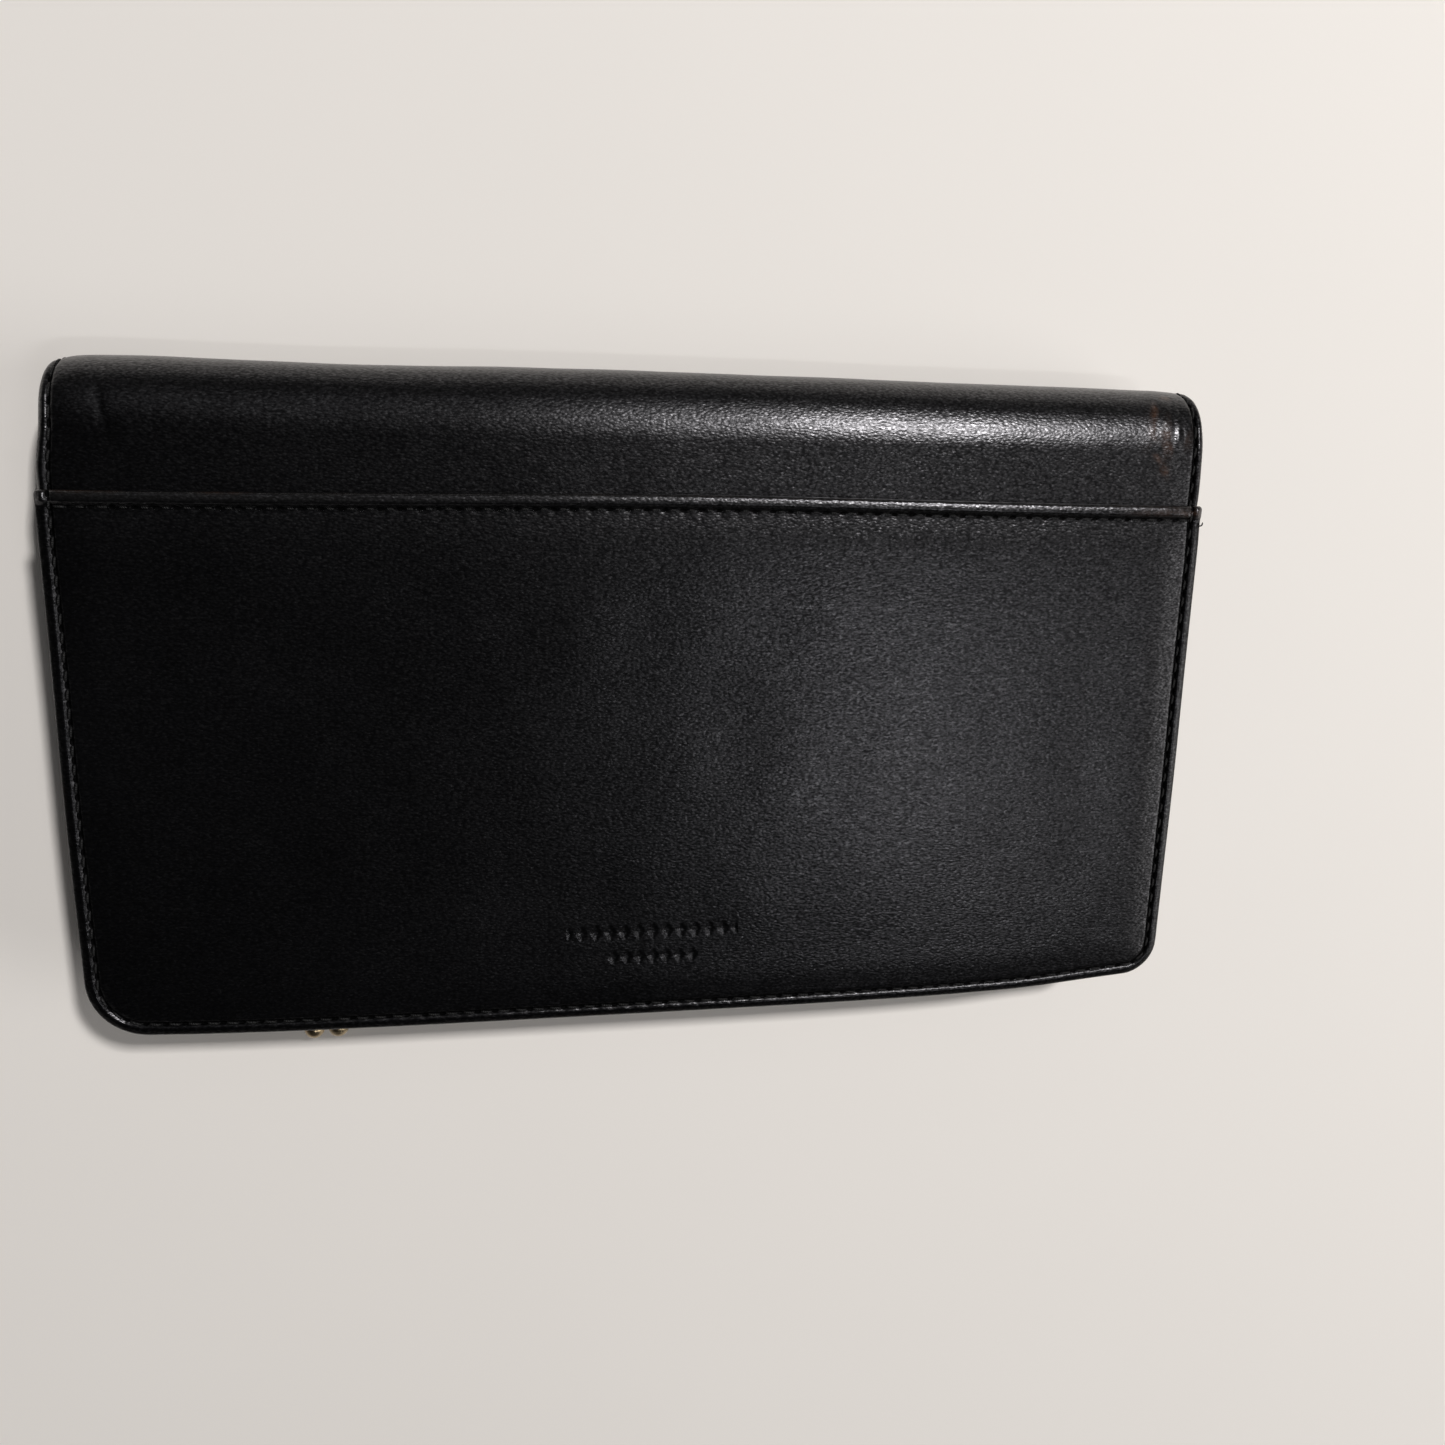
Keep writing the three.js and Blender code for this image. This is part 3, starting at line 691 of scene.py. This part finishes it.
def cover_wear(x, v, d):
    # First channel: lighter on the edges and a band round the fold, partly real rubbing and partly a painted
    # highlight.
    sheen_and_rubbing = 0.4 * bump(d, 0.6) + 0.18 * bump(v - QUARTER * 0.45, 5)
    scuff = bump(x - 88.0, 3.0) * bump(v - QUARTER + 2.0, 2.2)
    ring = bump(np.hypot(x - 91.0, (v - QUARTER + 2.5) * 0.9) - 6.0, 0.6) * (x < 90)
    brown = 0.8 * scuff * smooth((waves(x, v, 2.2, 31) + 0.3) / 1.2)
    brown = brown + 0.9 * ring * smooth((waves(x, v, 1.8, 32) + 0.5) / 1.2)
    brown = brown + 0.4 * bump(d, 0.4) * smooth((waves(x, v, 7, 22) - 0.4) / 0.8)
    # Third channel: painted shade in the stitch groove and on the rolled edge outside it.
    dark = 0.6 * bump(d - STITCH_IN, 0.5) + 0.5 * (1 - smooth((d - 0.6) / 1.2))
    return np.clip(np.stack([sheen_and_rubbing, brown, dark], -1), 0, 1)


def build_cover():
    """Two skins that part at the fold's middle, one over the back half and one under the front half."""
    upper = sheet("cover_upper_leather", cover_outline, cover_top, cover_bottom, fold_place(1),
                  COVER_LEATHER, v_from=0, step=0.9, edge=EDGE_LINES, round_r=1.1, wear=cover_wear,
                  seam=cover_seam, fine_v=(*SEAM_LINES, (QUARTER - 9, QUARTER + 3, 0.32)), flip=True,
                  fine_x=((-88, -82, 0.3), (81, 91.5, 0.32)))
    bend_over_fold(upper)
    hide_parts("cover_back", "back_board")

    def notch(x, v, d):
        inside = (x < NOTCH_X) & (v > NOTCH_V)
        d_notch = np.hypot(np.maximum(x - NOTCH_X, 0), np.maximum(NOTCH_V - v, 0))
        return np.where(inside, np.nan, x), v, np.minimum(d, np.where(inside, 0, d_notch))

    lower = sheet("cover_lower_leather", cover_outline, lambda x, v, d: cover_top(x, v, d, -1),
                  lambda x, v, d: cover_bottom(x, v, d, -1), fold_place(-1),
                  COVER_LEATHER, v_from=0, step=1.2, under_step=1.2, edge=EDGE_LINES, round_r=1.1,
                  wear=cover_wear, seam=cover_seam, fine_v=(*SEAM_LINES, (NOTCH_V - 3, NOTCH_V, 0.3)),
                  fine_x=((NOTCH_X, NOTCH_X + 3, 0.3),), notch=notch)
    bend_over_fold(lower)
    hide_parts("cover_front", "cover_spine", "front_board")


# ---- Fold lining ------------------------------------------------------------------------------------
def build_fold_lining():
    x_end = X_END - 3.2
    outline = Outline(-x_end, x_end, -60, QUARTER + 14, 0.3, 0.3, 1, 1)

    for side, name, nodes in (
        (1, "fold_lining_upper", ["fold_lining_back", "fold_lining_spine"]),
        (-1, "fold_lining_lower", ["fold_lining_front"]),
    ):
        def top(x, v, d, side=side):
            flat = smooth((v - QUARTER) / 9)
            return -COVER_THICK - 0.05 + 0.05 * waves(x, v, 14, 41) + swell(v, side) * (1 - flat)

        ob = sheet(name, outline, top, lambda x, v, d: top(x, v, d) - 0.45, fold_place(side), LINING,
                   v_from=0, step=2.0, round_r=0.25, fine_v=SEAM_LINES, flip=side > 0)
        bend_over_fold(ob)
        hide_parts(*nodes)


# ---- Flat layers inside -----------------------------------------------------------------------------
def build_layer(node, name, body, slot, material, low_left, low_right, wave, seed, crease=True, up=1):
    """One flat inner layer as leather or lining with rounded edges, and a creased mouth on its up side."""
    x0, y0, z0, x1, y1, z1 = span(node)
    outline = Outline(x0, x1, y0, y1, low_left, low_right, 1.2, 1.2)

    crease_in = 1.7  # from the mouth

    def pressed(v):
        return 0.14 * crease * bump((y1 - v) - crease_in, 0.22)

    def softness(x, v, d):
        return smooth(d / 8) * wave * waves(x, v, 22, seed)

    def top(x, v, d):
        return z1 - (pressed(v) if up > 0 else 0) + softness(x, v, d)

    def bottom(x, v, d):
        return z0 + (pressed(v) if up < 0 else 0) + softness(x, v, d)

    def wear(x, v, d):
        # Lighter at the edges and along the mouth's crease, partly real rubbing and partly a painted
        # highlight.
        sheen_and_rubbing = 0.45 * bump(d, 0.5) + 0.3 * bump((y1 - v) - crease_in, 0.25) * crease
        return np.clip(np.stack([sheen_and_rubbing, 0 * x, 0 * x], -1), 0, 1)

    ob = sheet(name, outline, top, bottom, flat_place, material, step=2.2, under_step=2.2,
               round_r=(z1 - z0) / 2, wear=wear)
    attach(ob, body)
    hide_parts(node)


def build_back_layers():
    build_layer("back_lining", "back_lining_cloth", "back_half", "lining", LINING, 6.5, 6.5, 0.03, 51, False)
    build_layer("bill_divider", "bill_divider_leather", "back_half", "inner_leather", INNER_LEATHER, 6.5,
                6.5, 0.05, 52, up=-1)
    for row in (1, 2, 3):
        for side, name in ((0, "left"), (1, "right")):
            node = f"card_slot_{name}_{row}"
            radii = (6.5, 0.6) if side == 0 else (0.6, 6.5)
            build_layer(node, f"{node}_leather", "back_half", "inner_leather", INNER_LEATHER, *radii,
                        0.05, 60 + 2 * row + side, up=-1)


def build_front_layers():
    build_layer("front_lining", "front_lining_cloth", "front_half", "lining", LINING, 6.5, 6.5, 0.03, 71,
                False)
    build_layer("slip_pocket", "slip_pocket_leather", "front_half", "inner_leather", INNER_LEATHER, 6.5,
                6.5, 0.06, 72)


def build_padding():
    """The padding in its wrapping, plump at its edges, round the coin pouch's corner."""
    x0, y0, _, x1, y1, _ = span("front_padding")
    gap = 0.15
    z0, z1 = COVER_THICK + gap, span("front_lining")[2] - gap
    x_notch = FIXED_JAW[3] + 2.3
    y_notch = span("coin_pouch_inner_wall")[4] + 0.3
    for name, sides, radii in (
        ("front_padding_right", (x_notch, x1, y0, y1), (1.0, 6.5, 1.0, 1.0)),
        ("front_padding_left", (x0, x_notch - 0.2, y_notch, y1), (1.0, 1.0, 1.0, 1.0)),
    ):
        ob = sheet(name, Outline(*sides, *radii), lambda x, v, d: z1 + 0 * x, lambda x, v, d: z0 + 0 * x,
                   flat_place, PAD_LEATHER, step=3, under_step=3, edge=PADDING_LINES, round_r=(z1 - z0) / 2)
        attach(ob, "front_half")
    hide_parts("front_padding")


# ---- Stitches ---------------------------------------------------------------------------------------
def stitch(place, top, x, v, dx, dv, length, lift=0.10, sink=0.45):
    """One stitch centred at (x, v) that runs along (dx, dv), ends pulled into the leather."""
    t = np.linspace(-0.5, 0.5, 7)
    xs, vs = x + dx * length * t, v + dv * length * t
    h = top + lift - sink * (np.abs(2 * t) ** 4)
    return np.stack(place(xs, vs, h), -1)


def edge_stitches(path, place, height):
    """Stitches along a seam, each (x, v, points). height is a number or a function of x and v."""
    s, px, pv = path
    found = []
    for centre in np.arange(STITCH_PITCH * FIRST_STITCH, s[-1], STITCH_PITCH):
        x, v = np.interp(centre, s, px), np.interp(centre, s, pv)
        dx = np.interp(centre + 0.4, s, px) - np.interp(centre - 0.4, s, px)
        dv = np.interp(centre + 0.4, s, pv) - np.interp(centre - 0.4, s, pv)
        size = math.hypot(dx, dv)
        dx, dv = (dx - 0.1 * dv) / size, (dv + 0.1 * dx) / size
        top = height(x, v) if callable(height) else height
        found.append((x, v, stitch(place, top, x, v, dx, dv, STITCH_PITCH * 0.66)))
    return found


def mirrored_place(x, v, h):
    """As flat_place, for a seam path whose v runs the other way to y."""
    return flat_place(x, -v, h)


def build_pocket_stitches():
    """Round the pocket's three sewn sides, and along its rim."""
    found = edge_stitches(POCKET_PATH, mirrored_place, lambda x, v: TOP - 0.42 + lift(-v))
    ob = thread("pocket_edge_stitches", [points for _, _, points in found])
    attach(ob, "back_half")

    y = MOUTH_Y - RIM
    rim = [stitch(flat_place, TOP - 0.38 + lift(y), x, y, 1, -0.06, STITCH_PITCH * 0.62)
           for x in np.arange(RIM_START, X_END - 3.2, STITCH_PITCH)]
    ob = thread("pocket_rim_stitches", rim)
    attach(ob, "back_half")


def build_cover_stitches():
    """Along both ends over the fold, and round the front half."""
    v_pocket = QUARTER + FOLD_Y - MOUTH_Y
    seam_start = 1.4

    def groove(side):
        return lambda x, v: ((-0.27 if side > 0 else -0.36) + swell(v, side)
                             + fold_end_drop(x) * (1 - float(smooth((v - QUARTER + 3) / 9))))

    over = edge_stitches(COVER_PATH, fold_place(1), groove(1))
    under = edge_stitches(COVER_PATH, fold_place(-1), groove(-1))
    for side, name, found in ((1, "fold_stitches_upper", over), (-1, "fold_stitches_lower", under)):
        ob = thread(name, [points for _, v, points in found if seam_start < v < v_pocket])
        bend_over_fold(ob)
    front = [points for x, v, points in under
             if v >= v_pocket and (x > NOTCH_X + 1.5 or v < NOTCH_V - 1.5)]
    ob = thread("front_edge_stitches", front)
    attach(ob, "front_half")


def build_inner_stitches():
    """Where the same seam comes out inside: round the slip pocket, and round the card slots."""
    x0, y0, _, x1, y1, z1 = span("slip_pocket")
    inner = seam_path(Outline(x0, x1, -y1, -y0, 1, 1, 6.5, 6.5), 1.6, -y1)
    found = edge_stitches(inner, mirrored_place, z1 - 0.1)
    ob = thread("slip_pocket_stitches", [points for _, _, points in found])
    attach(ob, "front_half")

    slots = [span(f"card_slot_right_{row}") for row in (1, 2, 3)]
    found = []

    def add(z, x, y, dx, dy):
        found.append(stitch(flat_place, z + 0.05, x, y, dx, dy, STITCH_PITCH * 0.8, lift=-0.10, sink=-0.45))

    for row, (x0, y0, z0, x1, y1, _) in enumerate(slots):
        above = slots[row + 1][4] + 0.6 if row < 2 else y0 + 8
        for x in (-x1 + 1.6, -x0 - 1.3, x0 + 1.3, x1 - 1.6):
            for y in np.arange(above, y1 - 0.3, STITCH_PITCH):
                add(z0, x, y, 0.06, 1)
    x0, y0, z0, x1, _, _ = slots[2]
    for x in np.arange(-x1 + 8, x1 - 7, STITCH_PITCH):
        add(z0, x, y0 + 1.6, 1, 0.06)
    ob = thread("card_slot_stitches", found)
    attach(ob, "back_half")


def build_loose_thread():
    """A loose end of thread below the pocket's corner."""
    t = np.linspace(0, 1, 12)
    x = X_END - 0.4 + 1.9 * t - 0.5 * t * t
    y = MOUTH_Y - 3.2 - 1.2 * t + 1.6 * t * t
    z = TOP + 0.2 + 0.5 * np.sin(3 * t)
    ob = thread("loose_thread_end", [np.stack([x, y, z], -1)], radius=0.13)
    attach(ob, "back_half")


# ---- Coin pouch and kiss-lock -----------------------------------------------------------------------
def finish_metal():
    """The metal pieces are the model's own, with bevelled edges and worn metal."""
    materials = {"coin_frame_fixed_jaw": BRASS, "coin_frame_moving_jaw": BRASS, "pivot_rivet_left": BRASS,
                 "pivot_rivet_right": BRASS, "snap_socket": SNAP_BRASS, "snap_stud": SNAP_BRASS,
                 "snap_socket_washer": STEEL, "snap_stud_washer": STEEL}
    for node, material in materials.items():
        ob = frame["nodes"][node]
        ob.data.materials.clear()
        ob.data.materials.append(material)
        bevel = ob.modifiers.new("bevel", "BEVEL")
        bevel.width = 0.00018
        bevel.segments = 2
        bevel.limit_method = "ANGLE"
        bevel.angle_limit = math.radians(38)
        for poly in ob.data.polygons:
            poly.use_smooth = False


def lathe(name, profile, line, material):
    """A turned piece: profile holds (distance, radius) pairs, measured along the bent line."""
    ring = 40  # points round the piece
    line = np.array(line, float)
    steps = np.linalg.norm(np.diff(line, axis=0), axis=1)
    along = np.concatenate([[0], np.cumsum(steps)])
    s, r = np.array(profile).T

    def on_line(distance):
        return np.stack([np.interp(distance, along, line[:, k]) for k in range(3)], -1)

    forward = on_line(s + 0.05) - on_line(s - 0.05)
    forward /= np.maximum(np.linalg.norm(forward, axis=1), 1e-9)[:, None]
    side = np.cross(forward, [1.0, 0, 0])
    side /= np.linalg.norm(side, axis=1)[:, None]
    other = np.cross(forward, side)
    a = np.linspace(0, 2 * math.pi, ring, endpoint=False)
    circle = side[:, None] * np.cos(a)[None, :, None] + other[:, None] * np.sin(a)[None, :, None]
    points = on_line(s)[:, None] + r[:, None, None] * circle
    quads = []
    for j in range(len(s) - 1):
        for k in range(ring):
            a0, a1 = j * ring + k, j * ring + (k + 1) % ring
            quads.append([a0, a1, a1 + ring, a0 + ring][::-1])
    ob = make_mesh(name, points.reshape(-1, 3), quads)
    ob.data.materials.append(material)
    return ob


def build_balls():
    """The two balls of the kiss-lock, each on a stem that leans out from its jaw."""
    for node, body, side in (("kiss_ball_moving", "coin_jaw", -1), ("kiss_ball_fixed", "front_half", 1)):
        x0, y0, z0, x1, y1, z1 = span(node)
        x = (x0 + x1) / 2
        ball_r = (x1 - x0) / 2
        ball_y = y0 + ball_r
        foot_z = z0 + 0.9 if side < 0 else z1 - 0.9
        ball_z = z1 - ball_r if side < 0 else z0 + ball_r
        ball_y -= 0.8 if side < 0 else 1.6  # both show below the free edge
        line = [(x, y1 + 0.5, foot_z), (x, y1 - 1.4, foot_z), (x, y1 - 2.4, foot_z * 0.8 + ball_z * 0.2),
                (x, ball_y, ball_z), (x, ball_y - 3, ball_z + 0.15 * (ball_z - foot_z))]
        lengths = np.concatenate([[0], np.cumsum([math.dist(a, b) for a, b in zip(line, line[1:])])])
        centre = lengths[3]
        profile = [(0, 1.3), (0.55, 1.3), (0.75, 1.2), (0.85, 0.9)]
        for t in np.linspace(1.0, centre - ball_r + 0.15, 9):
            profile.append((t, 0.86 - 0.10 * t / centre))
        for a in np.linspace(math.pi * 0.93, 0.0, 22):
            profile.append((centre - ball_r * math.cos(math.pi - a), max(ball_r * math.sin(a), 0.002)))
        profile.sort(key=lambda p: p[0])
        ob = lathe(f"{node}_brass", profile, line, BRASS)
        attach(ob, body)
        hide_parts(node)


def build_coin_mouth():
    """The leather that the moving jaw holds."""
    x0, y0, z0, x1, y1, z1 = span("coin_mouth_leather")

    def mouth_low(x, v, d):
        return z0 + 0.25 - 0.55 * smooth((d - 2.5) / 5)

    ob = sheet("coin_mouth_panel", Outline(x0, x1, y0, y1, 4.5, 4.5, 1, 1), lambda x, v, d: z1 + 0 * x,
               mouth_low, flat_place, COVER_LEATHER, step=1.6, under_step=1.6, round_r=0.4)
    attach(ob, "coin_jaw")
    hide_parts("coin_mouth_leather")


def build_pouch_walls():
    """The outer wall is soft leather, baked in place and not tied to the jaw. The inner one lies still."""
    x0, _, _, x1, y1, _ = span("coin_pouch_outer_wall")
    legs_y = span("coin_mouth_leather")[4] - 1
    low, high = 2.62, 3.1

    def skin(height):
        return lambda x, v, d: height + 0.05 * waves(x, v, 9, 81)

    outline = Outline(x0 + 3, x1 - 3, legs_y, y1, 1, 1, 1, 1)
    ob = sheet("coin_pouch_outer_skin", outline, skin(high), skin(low), flat_place, INNER_LEATHER,
               step=1.6, under_step=1.6, round_r=0.25)
    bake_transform(ob)
    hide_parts("coin_pouch_outer_wall")

    build_layer("coin_pouch_inner_wall", "coin_pouch_inner_leather", "front_half", "inner_leather",
                INNER_LEATHER, 4.5, 4.5, 0.04, 82, False)


def build_gussets():
    """A strip folded inwards at each end of the pouch."""
    low, high = 2.75, span("coin_pouch_inner_wall")[2] - 0.1
    y_end = span("coin_pouch_outer_wall")[4]
    n, m = 18, 40  # grid lines across the strip and along it
    for side, node in ((-1, "coin_gusset_left"), (1, "coin_gusset_right")):
        x0, y0, _, x1, _, _ = span(node)
        outer_x = x0 if side < 0 else x1
        u, v = np.meshgrid(np.linspace(0, 1, n), np.linspace(y0, y_end - 0.3, m))
        verts, quads = [], []
        for h in (0.0, 0.35):
            a = u * math.pi
            reach = 4.4 * np.sin(a) ** 0.8 + 0.12 * waves(v, u * 9, 6, 90 + side)
            z = low + (high - low) * (0.5 - 0.5 * np.cos(a))
            y = v + settle(outer_x + 0 * v, v)[1]
            verts.append(np.stack([outer_x - side * (reach - h), y, z], -1).reshape(-1, 3))
            i = (np.arange(m - 1)[:, None] * n + np.arange(n - 1)[None, :]).ravel() + u.size * len(quads)
            q = np.stack([i, i + 1, i + n + 1, i + n], -1)
            quads.append(q if (h > 0) == (side > 0) else q[:, ::-1])
        ob = make_mesh(f"{node}_strip", np.concatenate(verts), np.concatenate(quads))
        ob.data.materials.append(INNER_LEATHER)
        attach(ob, "front_half")
        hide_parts(node)


# ---- Room, lights and camera ------------------------------------------------------------------------
def area_light(name, lit, towards, distance, size, power, colour=(1, 1, 1)):
    """A softbox seen from the lit point in the given direction, its width level with X."""
    data = bpy.data.lights.new(name, "AREA")
    data.shape = "RECTANGLE"
    data.size, data.size_y = size
    data.energy = power
    data.color = colour
    ob = bpy.data.objects.new(name, data)
    bpy.context.scene.collection.objects.link(ob)
    z = Vector(towards).normalized()
    x = (Vector((1, 0, 0)) - z.x * z).normalized()
    y = z.cross(x)
    place = Vector(lit) + distance * z
    ob.matrix_world = Matrix([(x[k], y[k], z[k], place[k]) for k in range(3)] + [(0, 0, 0, 1)])


def build_floor():
    me = bpy.data.meshes.new("floor")
    half = 3.0
    me.from_pydata([(-half, -half, 0), (half, -half, 0), (half, half, 0), (-half, half, 0)], [],
                   [(0, 1, 2, 3)])
    floor = bpy.data.objects.new("floor", me)
    bpy.context.scene.collection.objects.link(floor)
    n = Nodes("pale_floor")
    n.set(Base_Color=n.mix(n.noise(6, 3), (0.86, 0.826, 0.795), (0.90, 0.866, 0.835)), Roughness=0.85)
    n.set(Specular_IOR_Level=0.15)
    me.materials.append(n.material)


def build_world():
    """The room is pale low down and dark overhead, where the black leather would mirror it."""
    world = bpy.data.worlds.new("studio")
    bpy.context.scene.world = world
    world.use_nodes = True
    tree = world.node_tree
    where = tree.nodes.new("ShaderNodeTexCoord")
    parts = tree.nodes.new("ShaderNodeSeparateXYZ")
    ramp = tree.nodes.new("ShaderNodeValToRGB")
    tree.links.new(where.outputs["Generated"], parts.inputs[0])
    tree.links.new(parts.outputs["Z"], ramp.inputs[0])
    tree.links.new(ramp.outputs[0], tree.nodes["Background"].inputs["Color"])
    ramp.color_ramp.interpolation = "EASE"
    ramp.color_ramp.elements[0].position = 0.0
    ramp.color_ramp.elements[0].color = (0.42, 0.407, 0.395, 1)
    ramp.color_ramp.elements[1].position = 0.62
    ramp.color_ramp.elements[1].color = (0.012, 0.012, 0.012, 1)
    for height, grey in ((0.14, 0.17), (0.34, 0.06)):
        step = ramp.color_ramp.elements.new(height)
        step.color = (grey, 0.97 * grey, 0.94 * grey, 1)


def build_lights():
    """The main lamp is mirrored in the fold and the sheen strip in the pocket. Two large ones fill in."""
    area_light("main", (0.045, 0.047, 0.021), (0.316, 0.443, 0.839), 1.5, (0.10, 0.12), 17.5,
               (1.0, 0.98, 0.955))
    area_light("sheen", (0.045, -0.008, 0.021), (0.315, -0.235, 0.92), 1.3, (0.28, 0.03), 1.2)
    area_light("side_fill", (0, 0, 0), (0.85, -0.15, 0.50), 1.7, (1.0, 1.0), 9, (1.0, 0.98, 0.955))
    area_light("fold_fill", (0, 0.048, 0.02), (-0.04, 0.60, 0.80), 1.7, (1.7, 0.75), 1.0)


def build_camera():
    """191 mm above the back face, near the fold and left of the middle. It looks down, a little towards the
    free edge and the right end.
    """
    cam = bpy.data.cameras.new("camera")
    cam.lens, cam.sensor_width = 28.57, 36.0
    cam.clip_start, cam.clip_end = 0.01, 20
    ob = bpy.data.objects.new("camera", cam)
    bpy.context.scene.collection.objects.link(ob)
    right = Vector((0.987, 0.0181, 0.1594)).normalized()
    back = -Vector((0.1598, -0.2015, -0.9664)).normalized()
    up = back.cross(right).normalized()
    right = up.cross(back)
    place = Vector((-0.0213, 0.0369, TOP * MM + 0.1908))
    ob.matrix_world = Matrix((
        (right.x, up.x, back.x, place.x),
        (right.y, up.y, back.y, place.y),
        (right.z, up.z, back.z, place.z),
        (0, 0, 0, 1),
    ))
    bpy.context.scene.camera = ob


build_pocket()
build_cover()
build_fold_lining()
build_back_layers()
build_front_layers()
build_padding()
build_pocket_stitches()
build_cover_stitches()
build_inner_stitches()
build_loose_thread()
finish_metal()
build_balls()
build_coin_mouth()
build_pouch_walls()
build_gussets()
build_floor()
build_world()
build_lights()
build_camera()
bpy.context.scene.view_settings.view_transform = "Standard"
